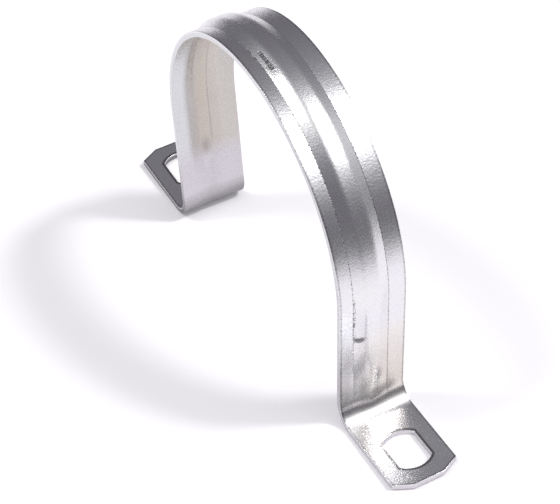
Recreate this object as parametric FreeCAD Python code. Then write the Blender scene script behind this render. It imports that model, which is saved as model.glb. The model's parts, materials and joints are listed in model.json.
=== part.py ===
import FreeCAD, Part
import math
import os

from FreeCAD import Vector

# Two-hole strap that holds a round steel conduit down on a flat surface.
# It is one strip of zinc-plated steel sheet, pressed into an arch with two legs and two feet.
# A flat-topped rib is pressed outward along the arch and the legs, and leaves a groove on the inside.
#
# X runs from hole to hole, Y along the conduit and Z up.
# The origin is on the mounting surface, under the middle of the arch.

# Driving dimensions, in millimetres and degrees

# The strip, with the edges of its outer face rounded by the shears
strap_width = 19.05
sheet = 1.6
edge_round = 0.35

# The arch, the legs and the bends above the feet
conduit_diameter = 88.9
conduit_clearance = 0.55
conduit_pinch = 1.3
leg_lean = 2.75
bend_radius = 5.1

# The feet and their holes, which are round holes with two flat sides, set back from the bends
hole_setback = 12.5
hole_length = 13.0
hole_width = 9.5
hole_corner = 0.9
toe_reach = 11.2
toe_cut_along = 2.6
toe_cut_across = 5.1

# The rib, which lies a little off the middle of the strip
rib_width = 10.1
rib_top = 4.0
rib_height = 1.35
rib_offset = 0.6
rib_shoulder_radius = 3.2
rib_root_radius = 0.8
rib_runout = 18.0
rib_stop = 1.0

# Sizes that follow from them

# A conduit that rests on the surface has its axis above the arch's by the pinch, so the bolts clamp it.
centre_height = conduit_diameter / 2 - conduit_pinch
arch_radius = conduit_diameter / 2 + conduit_clearance + sheet
lean = math.radians(leg_lean)

# Each bend touches the leg's outer face and the foot's top face.
bend_z = sheet + bend_radius
bend_x = (arch_radius + bend_radius - (centre_height - bend_z) * math.sin(lean)) / math.cos(lean)
leg_length = (centre_height - bend_z) * math.cos(lean) - bend_x * math.sin(lean)
hole_x = bend_x + hole_setback
toe_x = hole_x + toe_reach

# The rib's sides slope from its top down to the strip's flat sides.
flank = math.atan2(rib_height, (rib_width - rib_top) / 2)

# At each end the rib dips along an arc that carries its top down to half the sheet.
dip_radius = (rib_runout**2 + rib_height**2) / (2 * rib_height)
dip_angle = math.degrees(math.acos(1 - (rib_height + sheet / 2) / dip_radius))

# Points closer than this are the same point.
touch = 1e-4

middle = Vector(0, 0, centre_height)
across = Vector(0, 1, 0)
leg_out = Vector(math.cos(lean), 0, -math.sin(lean))
leg_down = Vector(-math.sin(lean), 0, -math.cos(lean))


def flipped(p):
    """The same point on the other leg."""
    return Vector(-p.x, p.y, p.z)


def side_profile(depth):
    """Curves from one toe to the other, at this depth below the strap's outer face."""
    bend = Vector(bend_x, 0, bend_z)
    half_bend = (Vector(0, 0, -1) - leg_out).normalize()
    toe = Vector(toe_x, 0, sheet - depth)
    heel = Vector(bend_x, 0, sheet - depth)
    in_bend = bend + half_bend * (bend_radius + depth)
    leg_end = bend - leg_out * (bend_radius + depth)
    arch_end = middle + leg_out * (arch_radius - depth)
    arch_top = middle + Vector(0, 0, arch_radius - depth)
    return [
        Part.LineSegment(flipped(toe), flipped(heel)),
        Part.Arc(flipped(heel), flipped(in_bend), flipped(leg_end)),
        Part.LineSegment(flipped(leg_end), flipped(arch_end)),
        Part.Arc(flipped(arch_end), arch_top, arch_end),
        Part.LineSegment(arch_end, leg_end),
        Part.Arc(leg_end, in_bend, heel),
        Part.LineSegment(heel, toe),
    ]


def slab(edges, width):
    """The outline drawn across the strap, to this width about its middle."""
    outline = Part.Face(Part.Wire(Part.__sortEdges__(edges)))
    outline.translate(across * (-width / 2))
    return outline.extrude(across * width)


def toe_corner():
    """The wedge that is cut off one corner of a toe."""
    corner = Vector(toe_x, strap_width / 2, 0)
    points = [
        corner - Vector(toe_cut_along, 0, 0),
        corner,
        corner - Vector(0, toe_cut_across, 0),
        corner - Vector(toe_cut_along, 0, 0),
    ]
    return Part.Face(Part.makePolygon(points)).extrude(Vector(0, 0, sheet))


def hole_punch():
    """A round punch with two flats along the foot, and its corners rounded."""
    round_punch = Part.makeCylinder(hole_length / 2, sheet, Vector(hole_x, 0, 0))
    flats = Part.makeBox(hole_length, hole_width, sheet, Vector(hole_x - hole_length / 2, -hole_width / 2, 0))
    punch = round_punch.common(flats)
    corners = [e for e in punch.Edges if abs(e.Vertexes[0].Z - e.Vertexes[-1].Z) > touch]
    return punch.makeFillet(hole_corner, corners)


def edges_at(shape, depth):
    """The shape's edges that lie along the sheet, at this depth below the strap's outer face."""
    face = Part.Wire([c.toShape() for c in side_profile(depth)])
    found = []
    for edge in shape.Edges:
        mid = edge.valueAt((edge.FirstParameter + edge.LastParameter) / 2)
        if face.distToShape(Part.Vertex(mid.x, 0, mid.z))[0] < touch:
            found.append(edge)
    return found


def sheared_edges(blank):
    """The outer face's edges along the sides, round the toes and round the holes."""
    found = []
    for edge in edges_at(blank, 0):
        start, end = edge.Vertexes[0].Point, edge.Vertexes[-1].Point
        straight_across = isinstance(edge.Curve, Part.Line) and abs(start.x - end.x) < touch
        at_toe = abs(start.x) > toe_x - touch
        if at_toe or not straight_across:
            found.append(edge)
    return found


def rib_edges(shape, depth):
    """The sharp edges where the rib, or its groove, meets the strip's flat sides at this depth."""
    reach = strap_width / 2 - edge_round - touch
    return [e for e in edges_at(shape, depth) if all(abs(v.Y) < reach and abs(v.X) < bend_x for v in e.Vertexes)]


def rib_section(depth):
    """A flat top and two sloping sides with round shoulders between them, at this depth below the rib's surface."""
    radius = rib_shoulder_radius - depth
    setback = radius * math.tan(flank / 2)
    height = rib_height - depth
    top = rib_top / 2 - depth * math.tan(flank / 2)
    base = -2 * sheet
    half = [
        (top - setback, height),
        (top - setback + radius * math.sin(flank / 2), height - radius * (1 - math.cos(flank / 2))),
        (top + setback * math.cos(flank), height - setback * math.sin(flank)),
        (top + (height - base) / math.tan(flank), base),
    ]
    leg_top = middle + leg_out * arch_radius - across * rib_offset
    right = [leg_top + across * y + leg_out * out for y, out in half]
    left = [leg_top - across * y + leg_out * out for y, out in half]
    edges = [
        Part.LineSegment(left[0], right[0]),
        Part.Arc(*right[:3]),
        Part.LineSegment(right[2], right[3]),
        Part.LineSegment(right[3], left[3]),
        Part.LineSegment(left[3], left[2]),
        Part.Arc(*left[:3]),
    ]
    return Part.Face(Part.Wire(Part.__sortEdges__([e.toShape() for e in edges])))


def rib_bar(depth):
    """The bar whose top and sides are the rib's surface, at this depth below it."""
    section = rib_section(depth)
    arch = section.revolve(middle, -across, 180 + 2 * leg_lean)
    straight = leg_down * (leg_length - rib_stop - rib_runout)
    leg = section.extrude(straight)
    dip_axis = middle + straight + leg_out * (arch_radius + rib_height - dip_radius)
    dip = section.translated(straight).revolve(dip_axis, across, dip_angle)
    ends = [leg, dip]
    ends += [end.mirror(Vector(), Vector(1, 0, 0)) for end in ends]
    return arch.multiFuse(ends)


def strap():
    # The flat strip bent to its profile, with its toes cut and its holes punched
    outer, inner = side_profile(0), side_profile(sheet)
    toes = [
        Part.LineSegment(outer[0].StartPoint, inner[0].StartPoint),
        Part.LineSegment(outer[-1].EndPoint, inner[-1].EndPoint),
    ]
    strip = slab([c.toShape() for c in outer + inner + toes], strap_width)
    corner, punch = toe_corner(), hole_punch()
    cuts = [corner, corner.mirror(Vector(), across), punch]
    cuts += [cut.mirror(Vector(), Vector(1, 0, 0)) for cut in cuts]
    strip = strip.cut(cuts)
    strip = strip.makeFillet(edge_round, sheared_edges(strip))

    # The rib stands on the middle of the sheet's thickness, and its roots blend into the outer face.
    core = side_profile(sheet / 2)[1:6]
    core.append(Part.LineSegment(core[0].StartPoint, core[-1].EndPoint))
    rib = rib_bar(0).cut(slab([c.toShape() for c in core], 2 * strap_width))
    raised = strip.fuse(rib).removeSplitter()
    raised = raised.makeFillet(rib_root_radius, rib_edges(raised, 0))

    # The groove keeps the sheet's thickness all the way round the rib.
    grooved = raised.cut(rib_bar(sheet))
    return grooved.makeFillet(rib_root_radius + sheet, rib_edges(grooved, sheet))


os.makedirs("parts", exist_ok=True)
strap().exportStep("parts/strap.step")
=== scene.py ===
import bpy
import json
import math
from mathutils import Matrix, Vector


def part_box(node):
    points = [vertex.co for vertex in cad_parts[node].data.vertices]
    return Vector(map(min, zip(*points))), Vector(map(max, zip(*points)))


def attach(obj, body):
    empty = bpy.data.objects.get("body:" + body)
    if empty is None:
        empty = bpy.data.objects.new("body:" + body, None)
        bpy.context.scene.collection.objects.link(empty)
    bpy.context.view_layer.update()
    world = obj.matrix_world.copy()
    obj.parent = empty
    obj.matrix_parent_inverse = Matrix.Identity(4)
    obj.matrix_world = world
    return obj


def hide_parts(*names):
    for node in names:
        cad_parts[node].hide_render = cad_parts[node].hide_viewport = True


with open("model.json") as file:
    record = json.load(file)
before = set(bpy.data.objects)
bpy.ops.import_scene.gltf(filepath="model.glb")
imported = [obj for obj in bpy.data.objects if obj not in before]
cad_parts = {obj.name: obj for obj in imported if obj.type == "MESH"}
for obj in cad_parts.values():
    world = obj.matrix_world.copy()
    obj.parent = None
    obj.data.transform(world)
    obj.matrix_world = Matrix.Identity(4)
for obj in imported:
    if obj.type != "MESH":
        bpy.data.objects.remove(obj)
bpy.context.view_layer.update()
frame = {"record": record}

# The strap is one strip of zinc-plated steel sheet, sheared to width, with punched holes and toe corners.
# A die presses the rib along it and bends it to an arch, two legs and two feet.
# A bolt through each foot holds it down over a conduit.

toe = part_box("strap")[1]
seat, holes = frame["record"]["mounts"][:2]
strap_width = 2 * toe.y
sheet = 0.0016
edge_round, inner_edge_round = 0.00035, 0.00008
arch_centre = seat["pos_m"][2]
arch_radius = seat["dims"]["r_mm"] / 1000 + sheet
leg_lean = math.radians(2.75)
bend_radius = 0.0051
bend_z = sheet + bend_radius
bend_x = (arch_radius + bend_radius - (arch_centre - bend_z) * math.sin(leg_lean)) / math.cos(leg_lean)
leg_length = (arch_centre - bend_z) * math.cos(leg_lean) - bend_x * math.sin(leg_lean)
leg_down = Vector((-math.sin(leg_lean), 0, -math.cos(leg_lean)))
leg_out = Vector((math.cos(leg_lean), 0, -math.sin(leg_lean)))
hole_x = holes["dims"]["spacing_x_mm"] / 2000

# Distances along the strip's outer face, from the crown to where the arch and the leg end
quarter = math.pi / 2 + leg_lean
arch_length = arch_radius * quarter
leg_end = arch_length + leg_length

# What is added to a place's X on the foot to give its distance along the strip
foot_shift = leg_end + bend_radius * quarter - bend_x

# Points closer than this are the same point.
touch = 0.00001


def deselect_all():
    for each in bpy.context.selected_objects:
        each.select_set(False)


def pick_vertices(piece, wanted):
    """In edit mode, selects the vertices of the piece whose place is wanted."""
    bpy.ops.object.mode_set(mode="OBJECT")
    piece.data.polygons.foreach_set("select", [False] * len(piece.data.polygons))
    piece.data.edges.foreach_set("select", [False] * len(piece.data.edges))
    piece.data.vertices.foreach_set("select", [wanted(v.co) for v in piece.data.vertices])
    bpy.ops.object.mode_set(mode="EDIT")
    bpy.ops.mesh.select_mode(type="VERT")


def apply_modifier(piece, name, kind, **settings):
    modifier = piece.modifiers.new(name, kind)
    for setting, value in settings.items():
        setattr(modifier, setting, value)
    bpy.ops.object.modifier_apply(modifier=name)


# A line of points across the crown, closer together at the strip's edges and at the rib's roots
rib_left, rib_right = -0.00565, 0.00445
near_root, near_edge = 0.00014, 0.00045
columns = [-toe.y, -toe.y + near_edge]
for stop, count in (
    (rib_left - near_root, 10),
    (rib_left + near_root, 2),
    (rib_right - near_root, 34),
    (rib_right + near_root, 2),
    (toe.y - near_edge, 14),
    (toe.y, 1),
):
    start = columns[-1]
    columns += [start + (stop - start) * (i + 1) / count for i in range(count)]

deselect_all()
crown = arch_centre + arch_radius
bpy.ops.mesh.primitive_plane_add(size=strap_width, location=(0, 0, crown))
strap = bpy.context.active_object
strap.name = "pressed_strap"
bpy.ops.object.transform_apply(location=True, rotation=True, scale=True)
bpy.ops.object.mode_set(mode="EDIT")
pick_vertices(strap, lambda co: co.x > 0 or co.y > 0)
bpy.ops.mesh.delete(type="VERT")
bpy.ops.mesh.select_all(action="SELECT")
bpy.ops.transform.translate(value=(strap_width / 2, 0, 0))
for here, there in zip(columns, columns[1:]):
    bpy.ops.mesh.extrude_vertices_move(TRANSFORM_OT_translate={"value": (0, there - here, 0)})

# The line is spun over the arch, drawn down the leg, spun round the bend and drawn out along the foot.
arch_steps, leg_steps, bend_steps = 130, 60, 26
bpy.ops.mesh.select_all(action="SELECT")
bpy.ops.mesh.spin(steps=arch_steps, angle=-quarter, center=(0, 0, arch_centre), axis=(0, 1, 0))
for step in range(leg_steps):
    bpy.ops.mesh.extrude_edges_move(TRANSFORM_OT_translate={"value": leg_down * leg_length / leg_steps})
bpy.ops.mesh.spin(steps=bend_steps, angle=quarter, center=(bend_x, 0, bend_z), axis=(0, 1, 0))
foot_start = bend_x + 0.0003
bpy.ops.mesh.extrude_edges_move(TRANSFORM_OT_translate={"value": (foot_start - bend_x, 0, 0)})

# The foot's outline is drawn round its cut corners to the far side.
toe_cut_along, toe_cut_across = 0.0026, 0.0051
pick_vertices(strap, lambda co: co.x > foot_start - touch and co.y > toe.y - touch)
outline = [
    Vector((foot_start, toe.y, sheet)),
    Vector((toe.x - toe_cut_along, toe.y, sheet)),
    Vector((toe.x, toe.y - toe_cut_across, sheet)),
    Vector((toe.x, toe_cut_across - toe.y, sheet)),
    Vector((toe.x - toe_cut_along, -toe.y, sheet)),
    Vector((foot_start, -toe.y, sheet)),
]
for here, there in zip(outline, outline[1:]):
    bpy.ops.mesh.extrude_vertices_move(TRANSFORM_OT_translate={"value": there - here})
bpy.ops.object.mode_set(mode="OBJECT")

# The hole is a circle with two flats along the foot and rounded corners. The foot is filled round it.
hole_length, hole_width, hole_corner = 0.0130, 0.0095, 0.0009
on_flat = touch / 10
deselect_all()
bpy.ops.mesh.primitive_circle_add(
    vertices=96, radius=hole_length / 2, fill_type="NGON", location=(hole_x, 0, sheet)
)
hole = bpy.context.active_object
bpy.ops.object.transform_apply(location=True, rotation=True, scale=True)
bpy.ops.object.mode_set(mode="EDIT")
for flat in (1, -1):
    bpy.ops.mesh.select_all(action="SELECT")
    bpy.ops.mesh.bisect(
        plane_co=(0, flat * hole_width / 2, 0), plane_no=(0, flat, 0), threshold=on_flat, clear_outer=True
    )
pick_vertices(hole, lambda co: abs(abs(co.y) - hole_width / 2) < on_flat)
corner_turn = math.acos(hole_width / hole_length)
bpy.ops.mesh.bevel(offset=hole_corner * math.tan(corner_turn / 2), segments=6, affect="VERTICES")
bpy.ops.mesh.select_all(action="SELECT")
bpy.ops.mesh.delete(type="ONLY_FACE")
bpy.ops.object.mode_set(mode="OBJECT")
strap.select_set(True)
bpy.context.view_layer.objects.active = strap
bpy.ops.object.join()
bpy.ops.object.mode_set(mode="EDIT")
bpy.ops.mesh.select_all(action="SELECT")
bpy.ops.mesh.remove_doubles(threshold=touch)
pick_vertices(strap, lambda co: co.x > foot_start - touch)
bpy.ops.mesh.fill()
bpy.ops.mesh.dissolve_limited(angle_limit=0.001)
bpy.ops.object.mode_set(mode="OBJECT")


def along_and_depth(co):
    """The distance from the crown along the strip's outer face, and the depth under that face."""
    x = abs(co.x)
    from_leg = Vector((x, 0, co.z)) - Vector((0, 0, arch_centre)) - leg_out * arch_radius
    from_bend = Vector((x - bend_x, 0, co.z - bend_z))
    down = from_leg.dot(leg_down)
    if down <= 0:
        from_centre = Vector((x, 0, co.z - arch_centre))
        return arch_radius * math.atan2(from_centre.x, from_centre.z), arch_radius - from_centre.length
    if down <= leg_length and x < bend_x:
        return arch_length + down, -from_leg.dot(leg_out)
    if x < bend_x:
        turn = math.atan2(from_bend.dot(leg_down), -from_bend.dot(leg_out))
        return leg_end + bend_radius * turn, from_bend.length - bend_radius
    return foot_shift + x, sheet - co.z


apply_modifier(strap, "other_half", "MIRROR", use_axis=(True, False, False), use_clip=True)
bpy.ops.object.mode_set(mode="EDIT")
bpy.ops.mesh.select_all(action="SELECT")
bpy.ops.mesh.remove_doubles(threshold=2 * touch)
bpy.ops.mesh.normals_make_consistent(inside=False)
bpy.ops.object.mode_set(mode="OBJECT")
if max(strap.data.polygons, key=lambda face: face.center.z).normal.z < 0:
    strap.data.flip_normals()

# The rib is pressed out of the strip: sharp roots, straight sides, round shoulders and a flat top.
# Down each leg its top dips and its sides grow wider, and what is left of it ends in the bend.
rib_height = 0.00135
rib_slope = 0.443
shoulder = 0.00029
rib_middle = (rib_left + rib_right) / 2
rib_half = (rib_right - rib_left) / 2
side_width = rib_height / rib_slope
runout_start, runout_end = arch_length + 0.0155, leg_end - 0.0005
runout_dip, runout_widening = 0.65, 0.0022
ending_length = 0.0060


def rib_rise(along, across):
    """The rib's height over the flat strip."""
    runout = min(max((along - runout_start) / (runout_end - runout_start), 0), 1)
    ending = min(max((along - runout_end) / ending_length, 0), 1)
    top = (1 - runout_dip * runout * runout) * (1 - ending * ending * (3 - 2 * ending))
    side = max(rib_half - abs(across - rib_middle), 0) / (side_width + runout_widening * runout)
    soft = shoulder / rib_height
    rounding = max(soft - abs(1 - side), 0) ** 2 / (4 * soft)
    return rib_height * top * max(min(1, side) - rounding, 0)


rib = strap.vertex_groups.new(name="rib")
for vertex in strap.data.vertices:
    rise = rib_rise(along_and_depth(vertex.co)[0], vertex.co.y)
    rib.add([vertex.index], rise / rib_height, "REPLACE")
apply_modifier(strap, "press", "DISPLACE", vertex_group="rib", strength=rib_height, mid_level=0)
apply_modifier(
    strap, "sheet", "SOLIDIFY", thickness=sheet, offset=-1, use_even_offset=True, use_quality_normals=True
)
strap.vertex_groups.clear()

# The shears round the outer face's edges and leave the inner face's edges nearly sharp.
for depth, offset, segments in ((0, edge_round, 3), (sheet, inner_edge_round, 1)):
    mesh = strap.data
    mesh.polygons.foreach_set("select", [False] * len(mesh.polygons))
    mesh.vertices.foreach_set("select", [False] * len(mesh.vertices))
    faces_of = {}
    for face in mesh.polygons:
        for key in face.edge_keys:
            faces_of.setdefault(key, []).append(face.normal)
    for edge in mesh.edges:
        normals = faces_of.get(tuple(sorted(edge.vertices)), ())
        ends = [along_and_depth(mesh.vertices[v].co)[1] for v in edge.vertices]
        at_depth = all(abs(end - depth) < 2 * touch for end in ends)
        edge.select = at_depth and len(normals) == 2 and normals[0].dot(normals[1]) < 0.5
    bpy.ops.object.mode_set(mode="EDIT")
    bpy.ops.mesh.select_mode(type="EDGE")
    bpy.ops.mesh.bevel(offset=offset, segments=segments, affect="EDGES", clamp_overlap=True)
    bpy.ops.object.mode_set(mode="OBJECT")

# Each point keeps its place on the strip: along it from the crown, across it, and its depth under the
# outer face.
strip = strap.data.attributes.new("strip", "FLOAT_VECTOR", "POINT")
for vertex, value in zip(strap.data.vertices, strip.data):
    along, depth = along_and_depth(vertex.co)
    value.vector = (math.copysign(along, vertex.co.x), vertex.co.y, depth + rib_rise(along, vertex.co.y))

# Out of the press the feet spring back, so their toes stand a little off the floor.
spring_slope = math.tan(math.radians(2.5))
spring_start, spring_blend = bend_x + 0.0030, 0.0140


def toe_rise(x):
    """The height that a foot has sprung up at this distance from the middle of the strap."""
    past_start = max(abs(x) - spring_start, 0)
    curved = min(past_start, spring_blend)
    return spring_slope * (curved * curved / (2 * spring_blend) + past_start - curved)


most = toe_rise(toe.x)
spring = strap.vertex_groups.new(name="spring")
for vertex in strap.data.vertices:
    spring.add([vertex.index], toe_rise(vertex.co.x) / most, "REPLACE")
apply_modifier(strap, "spring", "DISPLACE", vertex_group="spring", direction="Z", strength=most, mid_level=0)
strap.vertex_groups.clear()

strap.select_set(True)
bpy.ops.object.shade_smooth_by_angle(angle=math.radians(35))
apply_modifier(strap, "even_faces", "WEIGHTED_NORMAL", mode="FACE_AREA", keep_sharp=True)


class Socket:
    """A shader value, so that sums on values add their Math nodes."""

    def __init__(self, tree, socket):
        self.tree = tree
        self.socket = socket

    def maths(self, operation, *others):
        return node(self.tree, "Math", {"operation": operation}, self, *others)

    def __add__(self, other):
        return self.maths("ADD", other)

    def __sub__(self, other):
        return self.maths("SUBTRACT", other)

    def __rsub__(self, other):
        return node(self.tree, "Math", {"operation": "SUBTRACT"}, other, self)

    def __mul__(self, other):
        return self.maths("MULTIPLY", other)

    def __rtruediv__(self, other):
        return node(self.tree, "Math", {"operation": "DIVIDE"}, other, self)

    def __abs__(self):
        return self.maths("ABSOLUTE")

    def at_least(self, other):
        return self.maths("MAXIMUM", other)

    def at_most(self, other):
        return self.maths("MINIMUM", other)

    __radd__ = __add__
    __rmul__ = __mul__


def node(tree, kind, settings, *values, output=0, **named):
    """Adds a node, makes its settings, then fills or links its sockets by place or by name."""
    added = tree.nodes.new("ShaderNode" + kind)
    for setting, value in settings.items():
        if setting == "stops":
            for stop, (position, colour) in enumerate(value):
                if stop > 1:
                    added.color_ramp.elements.new(position)
                added.color_ramp.elements[stop].position = position
                added.color_ramp.elements[stop].color = colour
        else:
            setattr(added, setting, value)
    filled = list(enumerate(values)) + [(name.replace("_", " "), value) for name, value in named.items()]
    for socket, value in filled:
        if isinstance(value, Socket):
            tree.links.new(added.inputs[socket], value.socket)
        else:
            added.inputs[socket].default_value = value
    return Socket(tree, added.outputs[output]) if added.outputs else None


def new_material(name):
    material = bpy.data.materials.new(name)
    material.use_nodes = True
    material.node_tree.nodes.clear()
    return material, material.node_tree


def blend(first, second, share):
    """Two colours mixed by the second one's share."""
    mixed = node(share.tree, "Mix", {"data_type": "RGBA"}, Factor=share, output=2)
    for place_in_mix, colour in ((6, first), (7, second)):
        if isinstance(colour, Socket):
            share.tree.links.new(mixed.socket.node.inputs[place_in_mix], colour.socket)
        else:
            mixed.socket.node.inputs[place_in_mix].default_value = colour
    return mixed


def ramp(value, low, high, at_low=0.0, at_high=1.0, kind="LINEAR"):
    """One result up to the low bound, the other from the high bound on, and a blend between them."""
    return node(value.tree, "MapRange", {"interpolation_type": kind}, value, low, high, at_low, at_high)


def ridge(value, middle, half_width):
    """One at the middle, falling to nothing at half the width to each side."""
    return ramp(abs(value - middle), 0.0, half_width, 1.0, 0.0, "SMOOTHSTEP")


def past(value, bound, soft):
    """One past the bound and nothing before it."""
    return ramp(value, bound - soft, bound + soft)


def within(value, low, high, soft):
    """One between the two bounds and nothing outside them."""
    return past(value, low, soft) * (1 - past(value, high, soft))


def length(first, second):
    """The length of the flat vector with these two parts."""
    flat = node(first.tree, "CombineXYZ", {}, first, second)
    return node(first.tree, "VectorMath", {"operation": "LENGTH"}, flat, output="Value")


def bowed(value, start, over):
    """A height that starts level, curves up over this distance and rises straight on."""
    past_start = (value - start).at_least(0.0)
    curved = past_start.at_most(over)
    return curved * curved * (1 / (2 * over)) + past_start - curved


zinc, tree = new_material("zinc_steel")
place = node(tree, "TexCoord", {}, output="Object")
on_strip = node(tree, "Attribute", {"attribute_name": "strip"}, output="Vector")
along, across, depth = (node(tree, "SeparateXYZ", {}, on_strip, output=axis) for axis in "XYZ")
from_crown, off_middle = abs(along), abs(across)
outer_face = 1 - past(depth, 0.0004, 0.0001)


def noise(scale, detail, roughness=0.5):
    return node(tree, "TexNoise", {}, Vector=place, Scale=scale, Detail=detail, Roughness=roughness)


grain = noise(1900, 3, 0.6)
ripple = noise(350, 2)
dots = node(tree, "TexNoise", {"noise_dimensions": "1D"}, W=along, Scale=1500, Detail=1, Roughness=0.5)
dots = ramp(dots, 0.5, 0.6)

# The legs bow a little towards their bends, and the bends open: start, distance and slope of each bow.
bows = ((-0.030, 0.012, 0.085), (-0.016, 0.016, 0.045), (-0.002, 0.010, -0.190))
bow = sum(bowed(from_crown, leg_end + start, over) * slope for start, over, slope in bows)

# The die leaves a dotted line at each root of the rib.
left_line = ridge(across, rib_left - 0.0001, 0.00023) * (dots * 0.8 + 0.2)
left_line *= 1 - past(along, leg_end - 0.0115, 0.001)
right_line = ridge(across, rib_right, 0.00018) * (dots * 0.5 + 0.4)
lines = (left_line + right_line) * (1 - past(from_crown, leg_end + 0.002, 0.001))
lines *= ramp(along, 0.010, 0.030, 0.6, 1.1)

# It stamps a loop beside the left root on the front leg, deepest at its lower end, with fine pits beside it.
loop_top, loop_end = arch_length + 0.0012, arch_length + 0.0094
loop_middle, loop_radius = -0.0043, 0.0015
from_loop = length((along - loop_end).at_least(0.0), across - loop_middle)
loop = ridge(from_loop, loop_radius, 0.00022) * past(along, loop_top, 0.0005) * (dots * 0.5 + 0.2)
crescent = ridge(across, loop_middle, 0.0020) * ridge(from_loop, loop_radius - 0.0003, 0.0014)
crescent *= past(along, loop_end + 0.0003, 0.0005)
pits = ridge(across, rib_left + 0.0002, 0.00045) * ramp(noise(1500, 1), 0.5, 0.58)
pits *= within(along, arch_length - 0.004, loop_end + 0.002, 0.001)

# A scrape and a row of nicks lie by the crown.
scrape = within(across, -0.00450, -0.00370, 0.00008) * within(along, -0.0010, 0.0062, 0.0002)
scrape *= dots * 0.4 + 0.6
nicks = ridge(across, -0.00572, 0.0002) * within(along, -0.0095, 0.0060, 0.0003) * dots

# Marks are sunk and stained, and nicks stand up. The grain is finer towards the feet.
grain_height, ripple_height, nick_height, mark_depth = 0.000042, 0.000020, 0.00030, 0.00006
marks = lines + loop + crescent * 1.6 + scrape * 0.95 + pits * 0.8
coarseness = ramp(from_crown, arch_length - 0.010, leg_end + 0.002, 1.25, 0.5)
height = bow + (grain * grain_height + ripple * ripple_height) * coarseness
height += (nicks * nick_height - marks * mark_depth) * outer_face
relief = node(tree, "Bump", {}, Strength=1.0, Distance=1.0, Height=height)

# The zinc is a little blue on the arch and warmer down the legs, above all to the right.
zinc_stops = ((0.3, (0.80, 0.80, 0.83, 1)), (0.7, (0.81, 0.805, 0.81, 1)))
warm_zinc = (0.81, 0.765, 0.715, 1)
bare = node(tree, "ValToRGB", {"stops": zinc_stops}, noise(60, 2))
warmth = within(from_crown, arch_length + 0.010, leg_end + 0.004, 0.004)
warmth *= ramp(from_crown, arch_length - 0.008, leg_end - 0.004, 0.2, 1.0)
warmth *= ramp(across, -0.006, 0.002, 0.25, 1.0)
bare = blend(bare, warm_zinc, warmth)

# Inside the strap the colour is painted shade and reflection: darker on the groove's flanks, darkest where
# the groove ends and at the rear heel, and lighter grey low on the legs where the white floor reflects.
inside_shade_stops = (
    (0.17, (0.65, 0.66, 0.67, 1)),
    (0.25, (0.48, 0.465, 0.455, 1)),
    (0.48, (0.535, 0.485, 0.43, 1)),
    (0.75, (0.57, 0.55, 0.52, 1)),
)
heel_reflection_grey, groove_shade = (0.61, 0.59, 0.62, 1), (0.34, 0.32, 0.31, 1)
inside = node(tree, "ValToRGB", {"stops": inside_shade_stops}, across * 50 + 0.5)
# Low on the legs the inside turns a lighter grey, a painted reflection of the white floor.
above_heel = ramp(from_crown, leg_end - 0.0200, leg_end - 0.0115, kind="SMOOTHSTEP")
inside = blend(inside, heel_reflection_grey, above_heel)
# Painted shade darkens the groove's end and a line along its side.
groove_end_shade = ridge(length((from_crown - leg_end + 0.0168) * 0.5, across - rib_middle), 0.0, 0.0023)
groove_side_shade = ridge(across, 0.0015, 0.0003) * within(from_crown, 0.0, leg_end - 0.0180, 0.001)
inside = blend(inside, groove_shade, groove_end_shade * 0.75 + groove_side_shade * 0.5)
# Painted shade darkens the inside at the rear heel's bend.
rear_heel_shade = ramp(along, -leg_end - 0.004, -leg_end + 0.003, 0.35, 1.0)
inside = node(tree, "VectorMath", {"operation": "SCALE"}, inside, Scale=rear_heel_shade)

# Thin dark lines run along the sheared edges, round the holes and round the toes.
edges = ridge(off_middle, 0.0092, 0.0004) * (dots * 0.3 + 0.35)
hole_rim = length(from_crown - (foot_shift + hole_x), across) - hole_length / 2
hole_rim = hole_rim.at_least(off_middle - hole_width / 2)
edges += ridge(hole_rim, 0.0004, 0.0006) * past(from_crown, leg_end + 0.006, 0.001) * 0.9
toe_along = foot_shift + toe.x
cut_turn = math.atan2(toe_cut_along, toe_cut_across)
toe_rim = (from_crown - toe_along + toe_cut_along) * math.cos(cut_turn)
toe_rim += (off_middle - toe.y) * math.sin(cut_turn)
toe_rim = toe_rim.at_least(from_crown - toe_along)
edges += ridge(toe_rim, -0.0003, 0.0004) * 0.6

# Painted shade darkens the outer face above the bends, at and beside the end of the front rib, and round the
# scrape.
above_bend_shade = within(from_crown, leg_end - 0.0180, leg_end + 0.0025, 0.0040)
above_bend_shade *= ramp(across, -0.0075, -0.0045, 0.37, 0.09, "SMOOTHSTEP")
rib_end_shade = ridge(length((along - leg_end + 0.0062) * 0.50, across - 0.0009), 0.0, 0.0027)
beside_rib_end_shade = within(abs(across + 0.0008), 0.0009, 0.0030, 0.0006)
beside_rib_end_shade *= within(along, leg_end - 0.0095, leg_end + 0.001, 0.0025)
round_scrape_shade = within(across, -0.0052, -0.0030, 0.0006) * within(along, 0.0030, 0.0096, 0.0020)
painted_shade = above_bend_shade + rib_end_shade * 0.50 + beside_rib_end_shade * 0.22 + round_scrape_shade * 0.58

# This one dark colour serves the marks, the edge lines and the painted shade.
dirt_and_shade = (0.12, 0.115, 0.12, 1)
outside = blend(bare, dirt_and_shade, (marks + edges + painted_shade).at_most(0.85))
colour = blend(inside, outside, outer_face)
metal = node(
    tree, "BsdfPrincipled", {}, Base_Color=colour, Metallic=1.0, Roughness=grain * 0.1 + 0.22, Normal=relief
)
node(tree, "OutputMaterial", {}, metal)
strap.data.materials.clear()
strap.data.materials.append(zinc)

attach(strap, "root")
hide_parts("strap")

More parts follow.
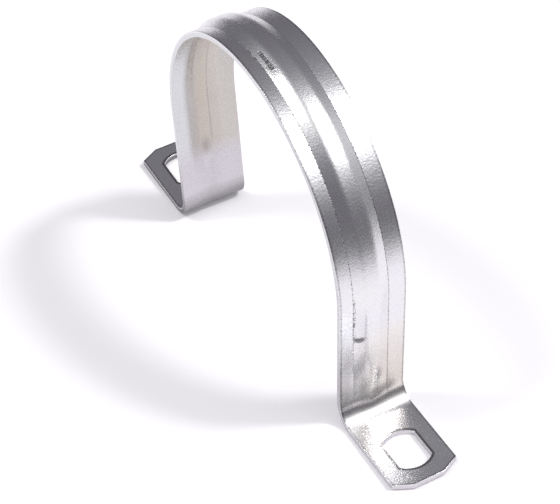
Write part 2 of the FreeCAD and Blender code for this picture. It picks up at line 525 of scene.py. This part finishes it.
# The floor is one wide white sheet, which glows a little to the camera so that it stays white.
# Far out it fades to the grey of the room.
deselect_all()
bpy.ops.mesh.primitive_circle_add(vertices=96, radius=3, fill_type="NGON")
floor = bpy.context.active_object
floor.name = "floor"
paper, tree = new_material("white_paper")
place = node(tree, "TexCoord", {}, output="Object")
white_centre, white_reach, grey_reach = (-0.253, 0, 0), 0.385, 0.595
far_grey, paper_white = (0.2, 0.2, 0.2, 1), (0.95, 0.93, 0.96, 1)
reach = node(tree, "VectorMath", {"operation": "DISTANCE"}, place, white_centre, output="Value")
white = ramp(reach, white_reach, grey_reach, 1.0, 0.0, "SMOOTHSTEP")
colour = blend(far_grey, paper_white, white)
paint = node(tree, "BsdfDiffuse", {}, colour)
glow = node(tree, "Emission", {}, colour, white * 0.17)
dark = node(tree, "Emission", {}, (0, 0, 0, 1), 0.0)
seen_by = ("Is Camera Ray", "Is Glossy Ray", "Is Transmission Ray")
rays = sum(node(tree, "LightPath", {}, output=kind) for kind in seen_by)
glow = node(tree, "MixShader", {}, rays, dark, glow)
node(tree, "OutputMaterial", {}, node(tree, "AddShader", {}, paint, glow))
floor.data.materials.append(paper)

# Two round lamps light the strap, one behind it and one in front, and cast its two ring shadows.
# White screens hang near the lamps and beside the strap, and the rest of the room is plain grey.
lamp_distance = 4
for name, direction, half_angle, power in (
    ("lamp_behind", (0.298, 0.500, 0.813), 3.6, 57.0),
    ("lamp_in_front", (-0.258, -0.470, 0.844), 4.4, 24.5),
):
    lamp_data = bpy.data.lights.new(name, "AREA")
    lamp_data.shape = "DISK"
    lamp_data.size = 2 * lamp_distance * math.tan(math.radians(half_angle))
    lamp_data.energy = power
    lamp = bpy.data.objects.new(name, lamp_data)
    bpy.context.scene.collection.objects.link(lamp)
    lamp.location = Vector(direction).normalized() * lamp_distance
    lamp.rotation_euler = Vector(direction).to_track_quat("Z", "Y").to_euler()

room = bpy.data.worlds.new("grey_room")
bpy.context.scene.world = room
room.use_nodes = True
tree = room.node_tree
tree.nodes.clear()
way = node(tree, "TexCoord", {}, output="Generated")


def screen(direction, reach, softness, brightness):
    """The light of a screen in each direction: bright within its reach in degrees, and soft at its rim."""
    middle = Vector(direction).normalized()
    toward = node(tree, "VectorMath", {"operation": "DOT_PRODUCT"}, way, middle, output="Value")
    from_middle = toward.at_most(0.99999).maths("ARCCOSINE") * math.degrees(1)
    falling = ((from_middle - reach) * (1 / softness)).maths("EXPONENT")
    return brightness / (falling + 1)


grey = (0.158, 0.153, 0.171)
screens = sum(
    screen(*settings)
    for settings in (
        ((0.38, 0.35, 0.857), 16, 6, 2.2),
        ((0.15, 0.90, 0.38), 14, 7, 0.75),
        ((0.02, -0.46, 0.886), 10, 6, 1.8),
        ((-0.258, -0.470, 0.844), 18, 7, 0.8),
        ((-0.10, 0.30, 0.95), 40, 9, 0.045),
    )
)
light = node(tree, "CombineXYZ", {}, *(screens + part for part in grey))
node(tree, "OutputWorld", {}, node(tree, "Background", {}, light, 1.0))
bpy.context.scene.view_settings.view_transform = "Standard"

# The camera looks down at the strap past its front leg, through a long lens.
camera_data = bpy.data.cameras.new("camera")
camera_data.sensor_width = 36
camera_data.lens = 141.33
camera = bpy.data.objects.new("camera", camera_data)
bpy.context.scene.collection.objects.link(camera)
bpy.context.scene.camera = camera
azimuth, elevation, roll = math.radians(63.635), math.radians(44.632), math.radians(-3.353)
level = Vector((math.sin(azimuth), -math.cos(azimuth), 0))
back = level * math.cos(elevation) + Vector((0, 0, math.sin(elevation)))
right = Vector((0, 0, 1)).cross(back).normalized()
up = back.cross(right)
tilted_right = right * math.cos(roll) + up * math.sin(roll)
tilted_up = up * math.cos(roll) - right * math.sin(roll)
camera.matrix_world = Matrix((tilted_right, tilted_up, back)).transposed().to_4x4()
camera.location = (0.375526, -0.188050, 0.434596)
